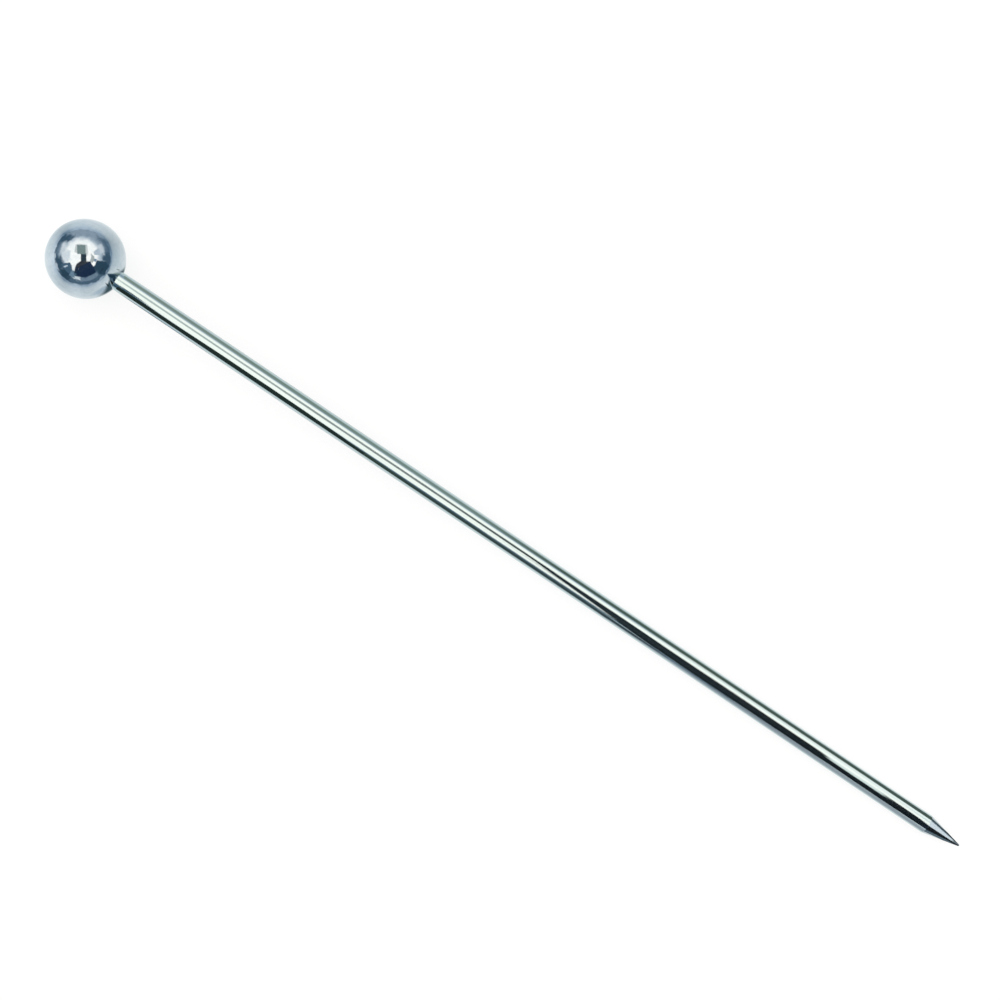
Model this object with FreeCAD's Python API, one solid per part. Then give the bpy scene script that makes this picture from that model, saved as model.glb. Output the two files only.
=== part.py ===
"""Ball-headed cocktail pick: a pointed wire shaft pressed into a drilled steel ball.

The pick lies at rest on a level surface. It touches at the underside of its ball and at the edge where its
point begins, so the shaft slopes gently down from the ball and the tip itself is just clear of the surface.

Millimetres. +Z is up and +X runs from the ball to the tip. The origin is on the surface, under the middle of
the pick's length.
"""

import FreeCAD, Part
import math
import os

# Driving dimensions
OVERALL_LENGTH = 110.0
BALL_DIAMETER = 8.0
SHAFT_DIAMETER = 2.0

# The ground point at the free end of the shaft
POINT_LENGTH = 4.0
TIP_RADIUS = 0.1

# The spigot turned on the hidden end of the shaft, and the cone between it and the barrel
SPIGOT_DIAMETER = 1.6
SPIGOT_LENGTH = 4.0
SPIGOT_CHAMFER = 0.2
SEAT_ANGLE = 90.0

# The ball's blind hole: a countersink wider than the barrel, a press fit, and air left ahead of the spigot
MOUTH_RELIEF = 0.05
PRESS_CLEARANCE = 0.0
AIR_GAP = 0.2
DRILL_POINT_ANGLE = 118.0

# Radii
ball_radius = BALL_DIAMETER / 2
shaft_radius = SHAFT_DIAMETER / 2
spigot_radius = SPIGOT_DIAMETER / 2
bore_radius = spigot_radius + PRESS_CLEARANCE
mouth_radius = shaft_radius + MOUTH_RELIEF

# Stations along the pick's own axis, which starts at the ball's centre
seat_run_per_rise = 1 / math.tan(math.radians(SEAT_ANGLE / 2))
mouth = math.sqrt(ball_radius**2 - mouth_radius**2)
seat_start = mouth - (mouth_radius - spigot_radius) * seat_run_per_rise
barrel_start = seat_start + (shaft_radius - spigot_radius) * seat_run_per_rise
countersink_foot = seat_start + (bore_radius - spigot_radius) * seat_run_per_rise
spigot_end = seat_start - SPIGOT_LENGTH
bore_end = spigot_end - AIR_GAP
drill_tip = bore_end - bore_radius / math.tan(math.radians(DRILL_POINT_ANGLE / 2))
tip = OVERALL_LENGTH - ball_radius
shoulder = tip - POINT_LENGTH

AXIS_START = FreeCAD.Vector(0, 0, 0)
AXIS_DIRECTION = FreeCAD.Vector(1, 0, 0)
FULL_TURN = 360


def at(station, radius):
    """A point of a profile, in the plane that holds the pick's axis."""
    return FreeCAD.Vector(station, 0, radius)


def on_circle(centre, radius, angle):
    """The profile point on a circle centred on the axis, at an angle up from the axis."""
    return at(centre + radius * math.cos(angle), radius * math.sin(angle))


def arc(centre, radius, start_angle, end_angle):
    """An arc of a circle centred on the axis, between two angles up from the axis."""
    middle_angle = (start_angle + end_angle) / 2
    return Part.Arc(
        on_circle(centre, radius, start_angle),
        on_circle(centre, radius, middle_angle),
        on_circle(centre, radius, end_angle),
    ).toShape()


def path(*points):
    """Straight edges from each point to the next."""
    return [Part.LineSegment(start, end).toShape() for start, end in zip(points, points[1:])]


def turned(edges):
    """The solid that a closed profile sweeps in one turn about the pick's axis."""
    profile = Part.Face(Part.Wire(edges))
    return profile.revolve(AXIS_START, AXIS_DIRECTION, FULL_TURN)


def ball_head():
    """The ball and its blind hole: a countersunk mouth, a plain bore and the drill's cone at the end."""
    mouth_angle = math.atan2(mouth_radius, mouth)
    hole = path(
        at(mouth, mouth_radius),
        at(countersink_foot, bore_radius),
        at(bore_end, bore_radius),
        at(drill_tip, 0),
        at(-ball_radius, 0),
    )
    return turned([arc(0, ball_radius, math.pi, mouth_angle), *hole])


def spear_shaft():
    """The shaft: a chamfered spigot, the cone that seats in the countersink, a plain barrel and the point."""
    tip_centre = tip - TIP_RADIUS
    centre_to_shoulder = math.hypot(tip_centre - shoulder, shaft_radius)
    point_half_angle = (
        math.atan2(shaft_radius, tip_centre - shoulder) - math.asin(TIP_RADIUS / centre_to_shoulder)
    )
    tangent_angle = math.pi / 2 - point_half_angle
    outline = path(
        at(tip, 0),
        at(spigot_end, 0),
        at(spigot_end, spigot_radius - SPIGOT_CHAMFER),
        at(spigot_end + SPIGOT_CHAMFER, spigot_radius),
        at(seat_start, spigot_radius),
        at(barrel_start, shaft_radius),
        at(shoulder, shaft_radius),
        on_circle(tip_centre, TIP_RADIUS, tangent_angle),
    )
    return turned([*outline, arc(tip_centre, TIP_RADIUS, tangent_angle, 0)])


def resting_placement():
    """Turns the axis level, then tips it until the ball and the shoulder's edge both touch the surface."""
    reach = math.hypot(shoulder, shaft_radius)
    slope = math.asin(ball_radius / reach) - math.atan2(shaft_radius, shoulder)
    tip_ahead_of_ball = (tip - TIP_RADIUS) * math.cos(slope) + TIP_RADIUS
    ball_centre = FreeCAD.Vector((ball_radius - tip_ahead_of_ball) / 2, 0, ball_radius)
    nose_down = FreeCAD.Rotation(FreeCAD.Vector(0, 1, 0), math.degrees(slope))
    return FreeCAD.Placement(ball_centre, nose_down)


def main():
    os.makedirs("parts", exist_ok=True)
    placement = resting_placement()
    for name, solid in {"ball_head": ball_head(), "spear_shaft": spear_shaft()}.items():
        solid.Placement = placement
        solid.exportStep(f"parts/{name}.step")
        box = solid.BoundBox
        print(f"{name}: {solid.Volume:.2f} mm3, x {box.XMin:.3f} to {box.XMax:.3f}, z {box.ZMin:.3f} to {box.ZMax:.3f}")


main()
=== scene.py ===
"""Looks for the ball-headed cocktail pick: a mirror-polished ball on a polished drawn-wire shaft.

Metres. The pick's own axis starts at the ball's centre and runs to the tip. Each piece is a fine turned
mesh, made in that axis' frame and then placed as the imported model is.
"""
import math

import bpy
import bmesh
from mathutils import Matrix, Vector, noise


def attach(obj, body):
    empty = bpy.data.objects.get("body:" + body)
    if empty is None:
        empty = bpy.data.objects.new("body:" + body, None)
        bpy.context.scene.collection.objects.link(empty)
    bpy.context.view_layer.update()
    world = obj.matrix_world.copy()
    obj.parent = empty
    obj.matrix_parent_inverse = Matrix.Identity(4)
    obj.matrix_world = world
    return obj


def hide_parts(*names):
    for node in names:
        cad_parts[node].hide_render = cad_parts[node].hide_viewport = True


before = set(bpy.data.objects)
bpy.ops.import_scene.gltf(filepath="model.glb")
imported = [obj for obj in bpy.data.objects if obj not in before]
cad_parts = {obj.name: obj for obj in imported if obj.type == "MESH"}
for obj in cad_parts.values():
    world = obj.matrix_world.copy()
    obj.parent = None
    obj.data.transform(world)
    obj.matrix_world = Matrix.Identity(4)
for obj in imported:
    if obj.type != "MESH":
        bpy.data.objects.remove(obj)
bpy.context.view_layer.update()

MM = 0.001

# Sizes of the pick, as in the solids
OVERALL_LENGTH = 110.0 * MM
BALL_RADIUS = 4.0 * MM
SHAFT_RADIUS = 1.0 * MM
POINT_LENGTH = 4.0 * MM
TIP_RADIUS = 0.1 * MM
SPIGOT_RADIUS = 0.8 * MM
SPIGOT_LENGTH = 4.0 * MM
SPIGOT_CHAMFER = 0.2 * MM
MOUTH_RELIEF = 0.05 * MM
AIR_GAP = 0.2 * MM
DRILL_HALF_ANGLE = math.radians(59)

# Stations along the axis. The seat's cone rises at 45 degrees, so its run equals its rise.
MOUTH_RADIUS = SHAFT_RADIUS + MOUTH_RELIEF
MOUTH = math.sqrt(BALL_RADIUS**2 - MOUTH_RADIUS**2)
SEAT_START = MOUTH - (MOUTH_RADIUS - SPIGOT_RADIUS)
BARREL_START = SEAT_START + SHAFT_RADIUS - SPIGOT_RADIUS
SPIGOT_END = SEAT_START - SPIGOT_LENGTH
BORE_END = SPIGOT_END - AIR_GAP
DRILL_TIP = BORE_END - SPIGOT_RADIUS / math.tan(DRILL_HALF_ANGLE)
TIP = OVERALL_LENGTH - BALL_RADIUS
SHOULDER = TIP - POINT_LENGTH

# Finer things than the solids hold. The waves stop short of the shoulder and the mouth
EDGE_BREAK = 0.02 * MM
SHOULDER_BREAK = 0.05 * MM
WIRE_WAVE = 0.0012 * MM
WIRE_WAVE_LENGTH = 5 * MM
WIRE_WAVE_ROUND = 0.8
TRUE_BY_SHOULDER = 1.5 * MM
BALL_WAVE = 0.0015 * MM
BALL_WAVE_LENGTH = 1.6 * MM
TRUE_BY_MOUTH = 0.3 * MM

# How fine the meshes are
BALL_SEGMENTS = 192
BALL_STEPS = 120
SHAFT_SEGMENTS = 128
TIP_STEPS = 10
FILLET_STEPS = 6
LONGEST_RUN = 0.5 * MM
GUARD_RUN = 0.03 * MM
ON_AXIS = 1e-9

# The picture's view: the camera looks almost straight down
VIEW_AZIMUTH = math.radians(33.886)
VIEW_ELEVATION = math.radians(88.976)
VIEW_TARGET = Vector((-3.121, 3.165, 0)) * MM
VIEW_DISTANCE = 187.1 * MM
SENSOR_WIDTH = 36
LENS = 65.99
EYE = VIEW_TARGET + VIEW_DISTANCE * Vector((
    math.sin(VIEW_AZIMUTH) * math.cos(VIEW_ELEVATION),
    -math.cos(VIEW_AZIMUTH) * math.cos(VIEW_ELEVATION),
    math.sin(VIEW_ELEVATION),
))


def resting():
    """The ball and the shoulder's edge touch the floor: the ball's centre and the slope of the axis."""
    reach = math.hypot(SHOULDER, SHAFT_RADIUS)
    slope = math.asin(BALL_RADIUS / reach) - math.atan2(SHAFT_RADIUS, SHOULDER)
    tip_ahead = (TIP - TIP_RADIUS) * math.cos(slope) + TIP_RADIUS
    return Vector(((BALL_RADIUS - tip_ahead) / 2, 0, BALL_RADIUS)), slope


BALL_CENTRE, SLOPE = resting()
PLACEMENT = Matrix.Translation(BALL_CENTRE) @ Matrix.Rotation(SLOPE, 4, "Y")


def rounded(corners):
    """Corner points with a radius each, turned into a smooth outline. A radius of 0 keeps the point."""
    outline = []
    for i, (x, y, radius) in enumerate(corners):
        here = Vector((x, y))
        if radius == 0 or i in (0, len(corners) - 1):
            outline.append(here)
            continue
        back = (Vector(corners[i - 1][:2]) - here).normalized()
        ahead = (Vector(corners[i + 1][:2]) - here).normalized()
        half = back.angle(ahead) / 2
        cut = radius / math.tan(half)
        centre = here + (back + ahead).normalized() * radius / math.sin(half)
        first, last = here + back * cut - centre, here + ahead * cut - centre
        turn = first.angle_signed(last)
        for k in range(FILLET_STEPS + 1):
            part = first.copy()
            part.rotate(Matrix.Rotation(-turn * k / FILLET_STEPS, 2))
            outline.append(centre + part)
    return outline


def refined(outline):
    """Adds points to long runs: one near each end, which keeps flats flat, and evenly between."""
    points = [outline[0]]
    for start, end in zip(outline, outline[1:]):
        run = end - start
        if run.length > 3 * GUARD_RUN:
            guard = run.normalized() * GUARD_RUN
            inner_start, inner_end = start + guard, end - guard
            count = max(1, math.ceil((inner_end - inner_start).length / LONGEST_RUN))
            points += [inner_start.lerp(inner_end, k / count) for k in range(count + 1)]
        points.append(end)
    return points


def turned(name, outline, segments, stray):
    """A mesh swept in one turn about the axis and placed. stray(point) is how far it is from true."""
    bm = bmesh.new()
    rings = []
    for station, radius in outline:
        if radius < ON_AXIS:
            rings.append([bm.verts.new((station, 0, 0))])
            continue
        ring = []
        for k in range(segments):
            angle = 2 * math.pi * k / segments
            out = Vector((0, math.cos(angle), math.sin(angle)))
            true = Vector((station, 0, 0)) + out * radius
            ring.append(bm.verts.new(true + out * stray(true)))
        rings.append(ring)
    for a, b in zip(rings, rings[1:]):
        for k in range(segments):
            n = (k + 1) % segments
            if len(a) == 1:
                bm.faces.new((a[0], b[n], b[k]))
            elif len(b) == 1:
                bm.faces.new((a[k], a[n], b[0]))
            else:
                bm.faces.new((a[k], a[n], b[n], b[k]))
    bmesh.ops.recalc_face_normals(bm, faces=bm.faces)
    mesh = bpy.data.meshes.new(name)
    bm.to_mesh(mesh)
    bm.free()
    mesh.transform(PLACEMENT)
    for face in mesh.polygons:
        face.use_smooth = True
    piece = bpy.data.objects.new(name, mesh)
    bpy.context.scene.collection.objects.link(piece)
    return piece


def ball_outline():
    """From the rear pole over the ball to the mouth, then down the countersink and the blind bore."""
    mouth_angle = math.atan2(MOUTH_RADIUS, MOUTH)
    surface = []
    for k in range(BALL_STEPS + 1):
        angle = math.pi + (mouth_angle - math.pi) * k / BALL_STEPS
        surface.append(Vector((BALL_RADIUS * math.cos(angle), BALL_RADIUS * math.sin(angle))))
    surface[0].y = 0
    hole = rounded([
        (*surface[-2], 0),
        (*surface[-1], EDGE_BREAK / 2),
        (SEAT_START, SPIGOT_RADIUS, EDGE_BREAK),
        (BORE_END, SPIGOT_RADIUS, EDGE_BREAK),
        (DRILL_TIP, 0, 0),
    ])
    return surface[:-2] + refined(hole)


def shaft_outline():
    """The spigot, the seat's cone, the barrel, the shoulder and the ground cone with its rounded tip."""
    tip_centre = TIP - TIP_RADIUS
    tangent = math.pi / 2 - cone_half_angle()
    corners = rounded([
        (SPIGOT_END, 0, 0),
        (SPIGOT_END, SPIGOT_RADIUS - SPIGOT_CHAMFER, EDGE_BREAK),
        (SPIGOT_END + SPIGOT_CHAMFER, SPIGOT_RADIUS, EDGE_BREAK),
        (SEAT_START, SPIGOT_RADIUS, EDGE_BREAK),
        (BARREL_START, SHAFT_RADIUS, EDGE_BREAK),
        (SHOULDER, SHAFT_RADIUS, SHOULDER_BREAK),
        (tip_centre + TIP_RADIUS * math.cos(tangent), TIP_RADIUS * math.sin(tangent), 0),
    ])
    outline = refined(corners)
    for k in range(1, TIP_STEPS + 1):
        angle = tangent * (1 - k / TIP_STEPS)
        outline.append(Vector((tip_centre + TIP_RADIUS * math.cos(angle), TIP_RADIUS * math.sin(angle))))
    outline[-1].y = 0
    return outline


def cone_half_angle():
    """The ground cone runs from the shoulder to touch the tip's ball."""
    run = TIP - TIP_RADIUS - SHOULDER
    return math.atan2(SHAFT_RADIUS, run) - math.asin(TIP_RADIUS / math.hypot(run, SHAFT_RADIUS))


def wire_stray(point):
    """The drawn wire is never quite true. Its ends are left as they are."""
    if not BARREL_START < point.x < SHOULDER - TRUE_BY_SHOULDER:
        return 0
    around = Vector((0, point.y, point.z)).normalized() * WIRE_WAVE_ROUND
    return WIRE_WAVE * noise.noise(Vector((point.x / WIRE_WAVE_LENGTH, 0, 0)) + around)


def ball_stray(point):
    """Faint dips from tumble polishing, none at the mouth or inside."""
    on_surface = point.length > BALL_RADIUS * 0.999
    if not on_surface or point.x > MOUTH - TRUE_BY_MOUTH:
        return 0
    return BALL_WAVE * noise.noise(point / BALL_WAVE_LENGTH)


# Materials

# Parts of a noise's range, for range_node
NOISE_MIDDLE = 0.35, 0.65
NOISE_WIDE = 0.3, 0.7
NOISE_WHOLE = 0.2, 0.8


def node(tree, kind, inputs=None, **settings):
    """Adds a shader node. inputs pairs a socket's name or number with a value, or with an output to link."""
    made = tree.nodes.new("ShaderNode" + kind)
    for name, value in settings.items():
        setattr(made, name, value)
    for name, value in (inputs or {}).items():
        if isinstance(value, bpy.types.NodeSocket):
            tree.links.new(value, made.inputs[name])
        else:
            made.inputs[name].default_value = value
    return made


def math_node(tree, operation, *values):
    return node(tree, "Math", dict(enumerate(values)), operation=operation).outputs[0]


def range_node(tree, value, start, end, low=0.0, high=1.0, smooth=False):
    kind = "SMOOTHSTEP" if smooth else "LINEAR"
    inputs = {"Value": value, "From Min": start, "From Max": end, "To Min": low, "To Max": high}
    return node(tree, "MapRange", inputs, interpolation_type=kind).outputs["Result"]


def blend_node(tree, factor, first, second):
    mix = node(tree, "Mix", {0: factor, 6: first, 7: second}, data_type="RGBA")
    return mix.outputs[2]


def blank_material(name):
    material = bpy.data.materials.new(name)
    material.use_nodes = True
    material.node_tree.nodes.clear()
    return material, material.node_tree


def axis_coordinates(tree):
    """Millimetres in the pick's own frame, whose x runs from the ball's centre to the tip."""
    coords = node(tree, "TexCoord")
    inputs = {"Vector": coords.outputs["Object"], "Location": BALL_CENTRE, "Rotation": (0, SLOPE, 0)}
    own = node(tree, "Mapping", inputs, vector_type="TEXTURE")
    return node(tree, "VectorMath", {0: own.outputs[0], "Scale": 1 / MM}, operation="SCALE").outputs[0]


def noise_node(tree, vector, stretch, detail=3.0, roughness=0.55):
    """Noise whose grain is stretch millimetres long in each direction of the pick's own frame."""
    scaled = node(tree, "VectorMath", {0: vector, 1: stretch}, operation="DIVIDE").outputs[0]
    inputs = {"Vector": scaled, "Scale": 1.0, "Detail": detail, "Roughness": roughness}
    return node(tree, "TexNoise", inputs).outputs["Fac"]


def finish_steel(tree, colour, roughness, normal):
    shader = node(tree, "BsdfPrincipled", {"Base Color": colour, "Roughness": roughness, "Normal": normal})
    shader.inputs["Metallic"].default_value = 1
    node(tree, "OutputMaterial", {"Surface": shader.outputs[0]})


def ball_steel():
    """Bluish mirror polish, mottled, with faint haze and the odd hairline."""
    material, tree = blank_material("ball_steel_polished")
    place = axis_coordinates(tree)
    haze = noise_node(tree, place, (1.1, 1.1, 1.1))
    cloud = noise_node(tree, place, (3.0, 3.0, 3.0), detail=2.0)
    hairline = noise_node(tree, place, (2.5, 0.05, 0.6), detail=2.0)
    cross_hairline = noise_node(tree, place, (0.05, 1.8, 1.2), detail=2.0)
    mottle = noise_node(tree, place, (0.5, 0.5, 0.5), detail=2.0)
    clouded = range_node(tree, cloud, *NOISE_MIDDLE)
    mottled = range_node(tree, mottle, *NOISE_MIDDLE, 0.0, 0.13)
    bluer, paler, white = (0.52, 0.595, 0.645, 1), (0.57, 0.625, 0.66, 1), (1, 1, 1, 1)
    colour = blend_node(tree, clouded, bluer, paler)
    colour = blend_node(tree, mottled, colour, white)
    roughness = range_node(tree, haze, *NOISE_WIDE, 0.035, 0.10)
    lines = math_node(tree, "ADD", range_node(tree, hairline, 0.62, 0.75),
                      range_node(tree, cross_hairline, 0.64, 0.76))
    bump = node(tree, "Bump", {"Height": lines, "Strength": 0.06, "Distance": 0.001 * MM}, invert=True)
    finish_steel(tree, colour, roughness, bump.outputs[0])
    return material


def shaft_steel():
    """Greenish drawn wire: fine lines along the barrel, grinding rings on the point, its end dulled."""
    material, tree = blank_material("shaft_steel_drawn")
    place = axis_coordinates(tree)
    station = node(tree, "SeparateXYZ", {0: place}).outputs["X"]
    shoulder, tip, half_blend = SHOULDER / MM, TIP / MM, 0.03
    on_point = range_node(tree, station, shoulder - half_blend, shoulder + half_blend)
    drawn = noise_node(tree, place, (9.0, 0.035, 0.035))
    streak = noise_node(tree, place, (14.0, 0.16, 0.16), detail=2.0)
    ground = noise_node(tree, place, (0.045, 0.5, 0.5), detail=4.0)
    speck = noise_node(tree, place, (0.09, 0.07, 0.07), detail=2.0)
    handling = noise_node(tree, place, (0.5, 0.12, 0.12), detail=3.0)
    end = range_node(tree, station, tip - 1.15, tip - 0.65, smooth=True)
    streaked = range_node(tree, streak, *NOISE_MIDDLE)
    specked = range_node(tree, speck, *NOISE_MIDDLE)
    greener, paler = (0.53, 0.63, 0.635, 1), (0.575, 0.66, 0.67, 1)
    point_darker, point_paler, dulled = (0.46, 0.52, 0.54, 1), (0.63, 0.68, 0.70, 1), (0.17, 0.20, 0.22, 1)
    colour = blend_node(tree, streaked, greener, paler)
    point_colour = blend_node(tree, specked, point_darker, point_paler)
    point_colour = blend_node(tree, end, point_colour, dulled)
    colour = blend_node(tree, on_point, colour, point_colour)
    barrel_roughness = math_node(tree, "ADD", range_node(tree, streak, *NOISE_WIDE, 0.07, 0.13),
                                 range_node(tree, handling, 0.62, 0.74, 0.0, 0.10))
    point_roughness = math_node(tree, "ADD", range_node(tree, speck, *NOISE_WIDE, 0.07, 0.18),
                                math_node(tree, "MULTIPLY", end, 0.15))
    roughness = node(tree, "Mix", {0: on_point, 2: barrel_roughness, 3: point_roughness}).outputs[0]
    relief = node(tree, "Mix", {0: on_point, 2: drawn, 3: ground}).outputs[0]
    fine = node(tree, "Bump", {"Height": relief, "Strength": 0.5, "Distance": 0.002 * MM}).outputs[0]
    die_lines = node(tree, "Mix", {0: on_point, 2: streak, 3: 0.5}).outputs[0]
    bump = node(tree, "Bump", {"Height": die_lines, "Strength": 0.5, "Distance": 0.008 * MM, "Normal": fine})
    finish_steel(tree, colour, roughness, bump.outputs[0])
    return material


def dress(piece, replaced, material):
    piece.data.materials.append(material)
    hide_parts(replaced)
    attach(piece, "root")


ball = turned("polished_ball", ball_outline(), BALL_SEGMENTS, ball_stray)
dress(ball, "ball_head", ball_steel())
shaft = turned("wire_shaft", shaft_outline(), SHAFT_SEGMENTS, wire_stray)
dress(shaft, "spear_shaft", shaft_steel())


# The room and the cards round the pick, which the steel mirrors

# The ceiling, the tints of the cards' and the walls' greys, and how much bluer darker greys are
WHITE = (1.60, 1.50, 1.40)
GREY_BLUE = 0.15
WALL_BLUE = 0.05
DARKS_BLUER = 0.42

# The strips close beside the wire: how far off they stand, and the lengths of the rays that meet them
STRIP_ASIDE = 1.2 * MM
STRIP_REACH = 0, 1.32

# The light low down: degrees round the compass, and level
LOW_LIGHT = [(0, 0.44), (38, 0.23), (62, 0.58), (90, 0.76), (110, 0.70), (130, 0.29), (152, 0.75),
             (178, 1.08), (200, 0.82), (224, 0.38), (250, 0.77), (272, 0.50), (300, 0.63), (330, 0.30),
             (360, 0.44)]

# The ceiling's colours and the walls' levels, by degrees from straight up
CEILING = [(41, WHITE), (46, (1.44, 1.38, 1.32))]
WALLS = [(51, 1.03), (56, 0.77), (62, 0.60), (67, 0.49), (72, 0.32), (77, 0.22), (86, 0.18)]

# Parts of the walls: centre and half height from straight up, centre and half width in the picture's
# azimuth, level, softness of its edges
WALL_PARTS = [
    (76, 13, 88, 31, 0.47, 6),
    (67, 8, 126, 10, 0.15, 5),
    (79, 12, 134, 9, 0.13, 5),
    (43, 12, 176, 17, 1.08, 5),
    (58, 7, 155, 11, 0.98, 5),
    (69, 11, 193, 13, 0.12, 6),
    (84.5, 3.5, 187, 16, 0.75, 3),
    (68, 18, 275, 44, 0.18, 5),
    (65, 4.5, 255, 10, 1.0, 3),
    (69, 5, 282, 24, 0.33, 3),
    (73, 14, 221, 12, 0.085, 4),
    (66.5, 18.5, 331, 17, 0.085, 3),
    (76, 12, 0, 10, 0.13, 5),
    (60, 7, 25, 14, 0.90, 6),
]


def staged(name, corners, material):
    """A flat shape of the stage, from its corners."""
    mesh = bpy.data.meshes.new(name)
    mesh.from_pydata(corners, [], [range(len(corners))])
    mesh.materials.append(material)
    piece = bpy.data.objects.new(name, mesh)
    bpy.context.scene.collection.objects.link(piece)
    return piece


def card(name, corners, colour, far_colour=None, reach=None):
    """A card that only the steel mirrors.

    It may fade to far_colour along x. With a reach, only rays whose length in millimetres is within it meet
    the card.
    """
    material, tree = blank_material(name)
    if far_colour:
        xs = [corner.x for corner in corners]
        place = node(tree, "SeparateXYZ", {0: node(tree, "TexCoord").outputs["Object"]})
        along = range_node(tree, place.outputs["X"], min(xs), max(xs))
        colour = blend_node(tree, along, (*colour, 1), (*far_colour, 1))
    else:
        colour = (*colour, 1)
    face = node(tree, "Emission", {"Color": colour}).outputs[0]
    if reach:
        least, most = (length * MM for length in reach)
        path = node(tree, "LightPath").outputs["Ray Length"]
        met = math_node(tree, "COMPARE", path, (most + least) / 2, (most - least) / 2)
        clear = node(tree, "BsdfTransparent").outputs[0]
        face = node(tree, "MixShader", {0: met, 1: clear, 2: face}).outputs[0]
    node(tree, "OutputMaterial", {"Surface": face})
    piece = staged(name, corners, material)
    piece.visible_camera = piece.visible_diffuse = piece.visible_transmission = piece.visible_shadow = False


def mirrored_ray(station, across):
    """Where the camera's ray meets the wire, and its way from there. across is the way's lean in degrees."""
    half = math.radians(across) / 2
    out = Vector((0, -math.sin(half), math.cos(half)))
    start = PLACEMENT @ (Vector((station * MM, 0, 0)) + out * SHAFT_RADIUS)
    normal = PLACEMENT.to_3x3() @ out
    sight = (start - EYE).normalized()
    return start, sight - 2 * sight.dot(normal) * normal


def beside(station, across):
    """The point to either side of the wire that is seen mirrored there."""
    start, way = mirrored_ray(station, across)
    return start + way * (STRIP_ASIDE - abs(start.y)) / abs(way.y)


def above(station, across, height):
    """The point at a height that is seen mirrored there."""
    start, way = mirrored_ray(station, across)
    return start + way * (height - start.z) / way.z


def overhead(zenith, azimuth, height, seen_from=BALL_CENTRE):
    """A point seen from the ball: degrees from straight up, and degrees in the picture from its right."""
    turn = math.radians(azimuth) + VIEW_AZIMUTH
    run = (height - seen_from.z) * math.tan(math.radians(zenith))
    return Vector((seen_from.x + run * math.cos(turn), run * math.sin(turn), height))


def grey(level, blue=GREY_BLUE):
    """The studio's greys, which get bluer as they get darker. blue is the tint of a level of 1."""
    blue -= DARKS_BLUER * math.log(level)
    return level * (1 - blue / 2), level, level * (1 + blue / 2)


def ramp_node(tree, value, span, levels):
    """A colour ramp over span, from pairs of a position in it and a colour."""
    ramp = node(tree, "ValToRGB", {"Fac": math_node(tree, "DIVIDE", value, span)})
    stops = ramp.color_ramp.elements
    for k, (position, colour) in enumerate([levels[0], levels[-1], *levels[1:-1]]):
        stop = stops[k] if k < 2 else stops.new(position / span)
        stop.position = position / span
        stop.color = (*colour, 1)
    return ramp.outputs["Color"]


def low_light(tree, azimuth):
    """The light level low down, round the compass: the tent's four corners are dim."""
    around = math_node(tree, "WRAP", azimuth, 360, 0)
    return ramp_node(tree, around, 360, [(angle, grey(level)) for angle, level in LOW_LIGHT])


def inside_part(tree, zenith, azimuth, middle, tall, side, wide, soft):
    """How far a direction is inside a part of the walls, from 0 to 1."""
    lift = math_node(tree, "ABSOLUTE", math_node(tree, "SUBTRACT", zenith, middle))
    turn = math_node(tree, "ABSOLUTE", math_node(
        tree, "WRAP", math_node(tree, "SUBTRACT", azimuth, side), 180, -180))
    return math_node(tree, "MULTIPLY",
                     range_node(tree, lift, tall + soft, tall - soft / 2, smooth=True),
                     range_node(tree, turn, wide + soft * 1.5, wide - soft, smooth=True))


def make_world():
    """A light tent: a bright ceiling, walls with dim corners and a bright foot, by direction."""
    world = bpy.data.worlds.new("room")
    bpy.context.scene.world = world
    world.use_nodes = True
    tree = world.node_tree
    tree.nodes.clear()
    direction = node(tree, "TexCoord").outputs["Generated"]
    inputs = {"Vector": direction, "Axis": (0, 0, 1), "Angle": -VIEW_AZIMUTH}
    turned_way = node(tree, "VectorRotate", inputs, rotation_type="AXIS_ANGLE").outputs[0]
    way = node(tree, "SeparateXYZ", {0: turned_way})
    zenith = math_node(tree, "DEGREES", math_node(tree, "ARCCOSINE", way.outputs["Z"]))
    azimuth = math_node(tree, "DEGREES", math_node(tree, "ARCTAN2", way.outputs["Y"], way.outputs["X"]))
    folds = node(tree, "TexNoise", {"Vector": direction, "Scale": 5.0, "Detail": 3.0}).outputs["Color"]
    fold = node(tree, "SeparateXYZ", {0: folds})
    lift_most, turn_most = 5, 10
    zenith = math_node(tree, "ADD", zenith, range_node(
        tree, fold.outputs["X"], *NOISE_WHOLE, -lift_most, lift_most))
    azimuth = math_node(tree, "ADD", azimuth, range_node(
        tree, fold.outputs["Y"], *NOISE_WHOLE, -turn_most, turn_most))

    walls = [(angle, grey(level, WALL_BLUE)) for angle, level in WALLS]
    colour = ramp_node(tree, zenith, 90, CEILING + walls)
    for middle, tall, side, wide, level, soft in WALL_PARTS:
        inside = inside_part(tree, zenith, azimuth, middle, tall, side, wide, soft)
        colour = blend_node(tree, inside, colour, (*grey(level, WALL_BLUE), 1))
    low_from, low_by = 84.5, 88
    is_low = range_node(tree, zenith, low_from, low_by)
    colour = blend_node(tree, is_low, colour, low_light(tree, azimuth))

    room = node(tree, "Background", {"Color": colour}).outputs[0]
    plain = node(tree, "Background", {"Color": (1, 1, 1, 1)}).outputs[0]
    seen = node(tree, "LightPath").outputs["Is Camera Ray"]
    both = node(tree, "MixShader", {0: seen, 1: room, 2: plain}).outputs[0]
    node(tree, "OutputWorld", {"Surface": both})


def ball_shade(tree, coords):
    """The shade that the ball casts on the floor in front of it, as a share of its colour."""
    spot = Vector((-42.5, -4.5, 0)) * MM
    edge, core, deepest = 5.2 * MM, 1.5 * MM, 0.8
    away = node(tree, "VectorMath", {0: coords, 1: spot}, operation="DISTANCE").outputs["Value"]
    return range_node(tree, away, edge, core, high=deepest, smooth=True)


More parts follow.
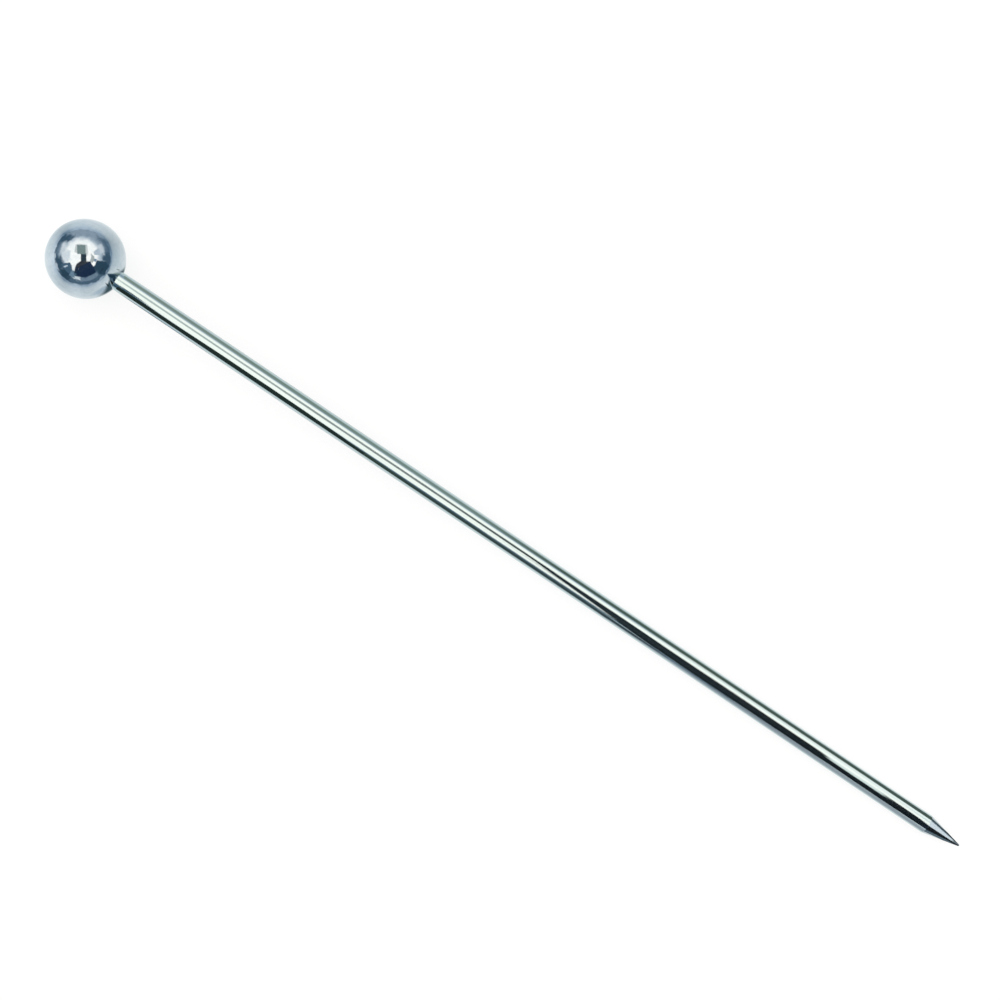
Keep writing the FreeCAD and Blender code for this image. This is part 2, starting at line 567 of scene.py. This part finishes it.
def contact_shade(tree, x, y):
    """The wire's contact shadow near the ball, 0 to 1. It spreads on its shaded side close to the ball."""
    begins, whole, fading, gone = -48 * MM, -46 * MM, -25 * MM, 0
    spread_most, spread_none = -41 * MM, -33 * MM
    edge, core = 2.8 * MM, 1.6 * MM
    spread = range_node(tree, x, spread_most, spread_none, -1.7, -1)
    aside = math_node(tree, "MAXIMUM", y, math_node(tree, "DIVIDE", y, spread))
    by_wire = math_node(tree, "MULTIPLY", range_node(tree, x, begins, whole),
                        range_node(tree, x, gone, fading))
    return math_node(tree, "MULTIPLY", by_wire, range_node(tree, aside, edge, core, smooth=True))


def mirrored_floor(tree):
    """The floor as the steel mirrors it: bright round the pick, the low light far off, and the shades."""
    coords = node(tree, "TexCoord").outputs["Object"]
    place = node(tree, "SeparateXYZ", {0: coords})
    x, y = place.outputs["X"], place.outputs["Y"]
    half_length = OVERALL_LENGTH / 2 - BALL_RADIUS
    past_end = math_node(tree, "SUBTRACT", math_node(tree, "ABSOLUTE", x), half_length)
    gap = node(tree, "CombineXYZ", {0: math_node(tree, "MAXIMUM", past_end, 0), 1: y}).outputs[0]
    distance = node(tree, "VectorMath", {0: gap}, operation="LENGTH").outputs["Value"]
    distance = math_node(tree, "DIVIDE", distance, MM)
    turn = math_node(tree, "DEGREES", math_node(
        tree, "ARCTAN2", y, math_node(tree, "SUBTRACT", x, BALL_CENTRE.x)))
    azimuth = math_node(tree, "SUBTRACT", turn, math.degrees(VIEW_AZIMUTH))
    # Millimetres from the pick, and the low light's share of the colour there
    shares = [(0, 0), (4, 0.15), (12, 0.38), (40, 0.62), (120, 1)]
    farthest = shares[-1][0]
    share = ramp_node(tree, distance, farthest, [(far, (level, level, level)) for far, level in shares])
    bright, by_ball, by_wire = (1.00, 1.04, 1.03, 1), (0.50, 0.62, 0.72, 1), (0.07, 0.12, 0.14, 1)
    colour = blend_node(tree, share, bright, low_light(tree, azimuth))
    colour = blend_node(tree, ball_shade(tree, coords), colour, by_ball)
    return blend_node(tree, contact_shade(tree, x, y), colour, by_wire)


def make_floor():
    """White to the camera, with the pick's own soft shadow. The steel mirrors it darker far off."""
    half_size, drop = 3.0, 0.02 * MM
    material, tree = blank_material("floor_white")
    mirrored = node(tree, "Emission", {"Color": mirrored_floor(tree)}).outputs[0]
    lit = node(tree, "BsdfDiffuse", {"Color": (0.9, 0.9, 0.9, 1)}).outputs[0]
    shaded = node(tree, "BsdfDiffuse", {"Color": (0.25, 0.25, 0.25, 1)}).outputs[0]
    glow = node(tree, "Emission", {"Color": (1, 1, 1, 1), "Strength": 0.79}).outputs[0]
    seen = node(tree, "AddShader", {0: shaded, 1: glow}).outputs[0]
    path = node(tree, "LightPath")
    unseen = node(tree, "MixShader", {0: path.outputs["Is Glossy Ray"], 1: lit, 2: mirrored}).outputs[0]
    both = node(tree, "MixShader", {0: path.outputs["Is Camera Ray"], 1: unseen, 2: seen}).outputs[0]
    node(tree, "OutputMaterial", {"Surface": both})
    corners = (-1, -1), (1, -1), (1, 1), (-1, 1)
    staged("floor", [Vector((x * half_size, y * half_size, -drop)) for x, y in corners], material)


# Dark and grey cards, placed by where they are seen mirrored

def make_high_cards():
    """The dark flag with its paler top, and a pale card far up to the right."""
    flag, far_up = 750 * MM, 3
    card("flag_low", [overhead(*spot, flag) for spot in (
        (30, 257.5), (38, 254.8), (51, 251), (59, 250), (62, 276), (62, 311), (44, 319.5), (37, 323),
        (30, 330))], (0.018, 0.040, 0.088))
    card("flag_high", [overhead(*spot, flag) for spot in ((13.5, 276), (17, 267), (30, 257.5), (30, 330))],
         (0.055, 0.062, 0.075))
    card("right_card", [overhead(*spot, far_up) for spot in (
        (37, 8), (37, 22), (45, 27), (56, 30), (56, 6))], grey(0.78, WALL_BLUE))


def make_low_cards():
    """A dark card to the left with a glint and a paler edge, and a fold to the right."""
    low = 50 * MM
    for name, lift, spots, colour, reach in (
        ("left_card", 0, ((35, 208), (37, 225), (46, 233), (62, 233), (64, 197), (50, 200)), grey(0.17),
         None),
        ("left_glint", -MM, ((46, 210), (46.5, 214), (58, 210), (59, 205)), grey(0.95), (0, 120)),
        ("left_edge", 0, ((50, 231), (49, 240), (66, 248), (66, 231)), grey(0.34), None),
        ("right_fold", 0, ((33, 337), (37, 351), (45, 351), (45, 340)), grey(0.42), (45.5, 60)),
    ):
        card(name, [overhead(*spot, low + lift) for spot in spots], colour, reach=reach)


def make_line_card():
    """The line along the middle of the wire."""
    height = 30 * MM
    spots = (4, -22.5), (16, -21.5), (42, -21), (57, -21.5), (57, 4), (42, 1), (16, -2), (4, -4)
    card("line_card", [above(*spot, height) for spot in spots], (0.84, 0.86, 0.82), (0.05, 0.06, 0.06),
         reach=(25.2, 28.2))


def make_ball_cards():
    """A square grey card on a plain dark post, and the flag's near side.

    Their reach leaves out the wire, whose rays up to them are longer than the ball's.
    """
    height = 20 * MM
    for name, lift, spots, colour, farthest in (
        ("grey_card", 0, ((8.5, 150), (29, 109), (29.5, 67), (13.5, 15)), (0.29, 0.37, 0.355), 15.2),
        ("grey_edge", 0.6 * MM, ((17, 150), (32.5, 113), (33, 62), (21, 25), (16, 352)), (0.95, 0.93, 0.88),
         15.9),
        ("dark_post", 0.3 * MM, ((7.2, 78), (15.3, 27), (20.1, 318), (13.6, 274)), (0.04, 0.065, 0.085),
         15.2),
        ("flag_side", 0, ((13.5, 276), (15.5, 259), (23, 243), (30, 242), (35, 242), (35, 258), (18, 290)),
         (0.05, 0.055, 0.07), 15.2),
        ("flag_foot", -0.3 * MM, ((31, 242), (44, 244), (50, 247), (50, 256), (31, 258)),
         (0.02, 0.04, 0.08), 20),
    ):
        card(name, [overhead(*spot, height + lift) for spot in spots], colour, reach=(0, farthest))


def make_strips():
    """Strips close beside the wire, by station and lean. The ball and the floor don't see them. The dark,
    green and pale strips stand in for the dim walls low down and for the floor beside the wire, where they
    are painted shade: the pick's shadow on the floor.
    """
    # The dark, green and pale strips are partly painted shade: the floor beside the wire in the pick's
    # shadow
    for name, spots, colour, far_colour in (
        ("dark_strip", ((4.3, 75), (4.5, 54), (12, 48), (17, 42), (23, 42), (29, 48), (33, 60), (34, 60),
                        (34, 104), (4.3, 104)), (0.023, 0.036, 0.033), (0.027, 0.042, 0.038)),
        ("dark_strip_far", ((34, 60), (38, 63.5), (50, 63), (60, 61), (66, 66), (71, 88), (66, 106),
                            (34, 104)), (0.055, 0.08, 0.065), (0.065, 0.095, 0.115)),
        ("pale_strip", ((64, 98), (72, 88), (80, 79), (102, 70), (102, 120), (62, 112)),
         (0.43, 0.445, 0.50), (0.50, 0.52, 0.58)),
        ("green_strip", ((4.3, -85), (4.5, -64), (46, -64), (46, -105), (4.3, -105)),
         (0.335, 0.39, 0.345), (0.29, 0.365, 0.325)),
        ("green_strip_middle", ((46, -64), (57, -66), (57, -107), (46, -105)),
         (0.29, 0.365, 0.325), (0.125, 0.17, 0.14)),
        ("green_strip_far", ((57, -66), (72, -62.5), (102, -67.5), (102, -119), (57, -107)),
         (0.125, 0.17, 0.14), (0.105, 0.14, 0.12)),
        ("bright_strip", ((60, -46), (72, -62.5), (102, -67.5), (102, -46)),
         (0.95, 0.95, 0.92), (1.38, 1.38, 1.32)),
    ):
        card(name, [beside(*spot) for spot in spots], colour, far_colour, reach=STRIP_REACH)


def make_black_strip():
    """The black band above the wire's far half, with a gap of light close to the point."""
    height, reach = 25 * MM, (20, 62)
    card("black_strip", [above(*spot, height) for spot in (
        (52, -10), (56, -15.5), (101, -11), (101, 60), (80, 66), (68.5, 74), (66, 57), (62.5, 37),
        (57.8, 20))], (0.024, 0.035, 0.043), (0.003, 0.008, 0.013), reach=reach)
    gap = (89.6, -15.5), (96.5, -15.5), (96.5, 9), (89.6, 9)
    card("light_gap", [above(*spot, height - MM) for spot in gap], (1.2, 1.2, 1.15), reach=reach)


def make_point_cards():
    """The point's own: sides of one arc of directions, then painted shade on the floor to either side of it.
    """
    height = 15 * MM
    point = PLACEMENT @ Vector((SHOULDER + POINT_LENGTH / 2, 0, 0))
    for name, spots, colour in (
        ("point_pale", ((33, 323), (33, 326), (38, -5), (52, 15), (77, 32), (77, -2), (68, -5),
                        (60, 341), (57, 326), (58, 323)), grey(1.15)),
        ("point_dark", ((33, 323), (58, 323), (68, 298), (78, 291), (68, 267), (52, 278), (38, 297)),
         (0.008, 0.012, 0.015)),
        ("point_slate", ((68, 267), (78, 291), (86, 290), (86, 258)), (0.10, 0.14, 0.16)),
        ("point_edge", ((77, -2), (77, 32), (86, 40), (86, -2)), (0.05, 0.07, 0.08)),
    ):
        card(name, [overhead(*spot, height, point) for spot in spots], colour, reach=(10, 120))
    # Dark patches lying on the floor by the point, which only the steel sees: painted shade of the floor
    # there
    patch = (53.6, 0.6), (56, 0.6), (150, 60), (80, 110), (54, 12)
    for name, side, colour in (
        ("point_floor_shade_front", -1, (0.12, 0.16, 0.19)),
        ("point_floor_shade_back", 1, (0.05, 0.07, 0.08)),
    ):
        card(name, [Vector((x, side * y, 0)) * MM for x, y in patch], colour, reach=(0, 120))


def make_camera():
    data = bpy.data.cameras.new("camera")
    data.sensor_width = SENSOR_WIDTH
    data.lens = LENS
    data.clip_start, data.clip_end = 0.005, 20
    camera = bpy.data.objects.new("camera", data)
    bpy.context.scene.collection.objects.link(camera)
    camera.location = EYE
    camera.rotation_mode = "QUATERNION"
    camera.rotation_quaternion = (VIEW_TARGET - EYE).to_track_quat("-Z", "Y")
    bpy.context.scene.camera = camera


make_camera()
make_floor()
make_world()
make_high_cards()
make_low_cards()
make_line_card()
make_ball_cards()
make_strips()
make_black_strip()
make_point_cards()

bpy.context.scene.view_settings.view_transform = "Standard"
